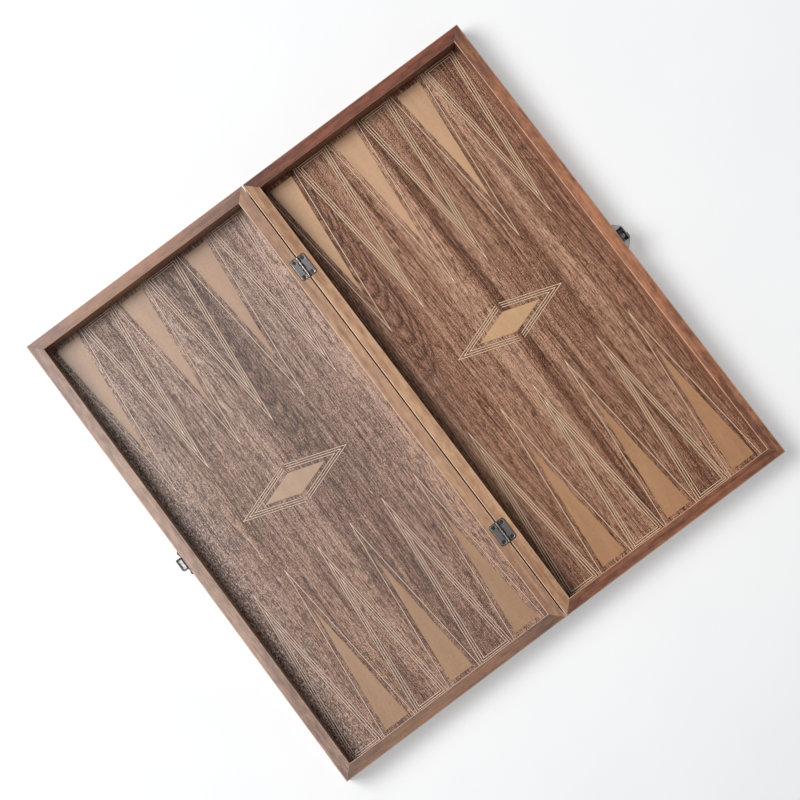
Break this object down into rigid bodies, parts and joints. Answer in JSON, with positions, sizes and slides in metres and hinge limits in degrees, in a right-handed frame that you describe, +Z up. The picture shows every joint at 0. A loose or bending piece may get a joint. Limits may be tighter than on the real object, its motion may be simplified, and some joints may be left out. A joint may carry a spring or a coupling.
{
  "type": "folding backgammon set",
  "caption": "Folding wooden backgammon case, open flat: two mitred trays with inlaid playing fields, butt hinges in the seam and a button latch.",
  "frame": {"origin": "on the table, under the middle of the seam between the two halves, with the case lying open", "axes": "+X from the left half to the right half across the seam, +Y along the hinge line towards the far end, +Z up out of the trays"},
  "size_m": [0.495, 0.48, 0.0343],
  "materials": {
    "rail_wood": "satin lacquered reddish-brown hardwood",
    "field_walnut": "satin lacquered walnut veneer with dark streaks",
    "outside_walnut": "satin lacquered walnut veneer",
    "panel_core": "raw plywood",
    "light_inlay": "satin lacquered light veneer",
    "hinge_metal": "dark antique nickel plate",
    "screw_metal": "dark antique nickel plate",
    "latch_metal": "nickel plate",
    "button_metal": "blackened steel",
    "bright_steel": "bright nickel-plated steel"
  },
  "bodies": {
    "left_half": {"left_near_rail": "rail_wood", "left_hinge_rail": "rail_wood", "left_far_rail": "rail_wood", "left_outer_rail": "rail_wood", "left_base_panel": "panel_core", "left_outside_veneer": "outside_walnut", "left_field_veneer": "field_walnut", "left_diamond": "light_inlay", "left_far_point_1": "light_inlay", "left_far_point_3": "light_inlay", "left_far_point_5": "light_inlay", "left_near_point_2": "light_inlay", "left_near_point_4": "light_inlay", "left_near_point_6": "light_inlay", "hinge_1_left_leaf": "hinge_metal", "hinge_1_left_screw_1": "screw_metal", "hinge_1_left_screw_2": "screw_metal", "hinge_1_pin": "bright_steel", "hinge_2_left_leaf": "hinge_metal", "hinge_2_left_screw_1": "screw_metal", "hinge_2_left_screw_2": "screw_metal", "hinge_2_pin": "bright_steel", "keeper_plate": "latch_metal", "keeper_screw_1": "bright_steel", "keeper_screw_2": "bright_steel"},
    "right_half": {"right_near_rail": "rail_wood", "right_hinge_rail": "rail_wood", "right_far_rail": "rail_wood", "right_outer_rail": "rail_wood", "right_base_panel": "panel_core", "right_outside_veneer": "outside_walnut", "right_field_veneer": "field_walnut", "right_diamond": "light_inlay", "right_far_point_1": "light_inlay", "right_far_point_3": "light_inlay", "right_far_point_5": "light_inlay", "right_near_point_2": "light_inlay", "right_near_point_4": "light_inlay", "right_near_point_6": "light_inlay", "hinge_1_right_leaf": "hinge_metal", "hinge_1_right_screw_1": "screw_metal", "hinge_1_right_screw_2": "screw_metal", "hinge_2_right_leaf": "hinge_metal", "hinge_2_right_screw_1": "screw_metal", "hinge_2_right_screw_2": "screw_metal", "latch_case": "latch_metal", "latch_spring": "bright_steel", "latch_screw_1": "bright_steel", "latch_screw_2": "bright_steel"},
    "latch_button": {"latch_button": "button_metal"}
  },
  "joints": [
    {"name": "fold", "type": "hinge", "parent": "left_half", "child": "right_half", "pos_m": [0, 0, 0.0302], "axis": [0, -1, 0], "range_deg": [0, 180]},
    {"name": "latch_slide", "type": "slide", "parent": "right_half", "child": "latch_button", "axis": [0, 1, 0], "range_m": [0, 0.0019], "stiffness_N_per_m": 300, "springref_m": -0.003, "deforming": ["latch_spring"]}
  ]
}
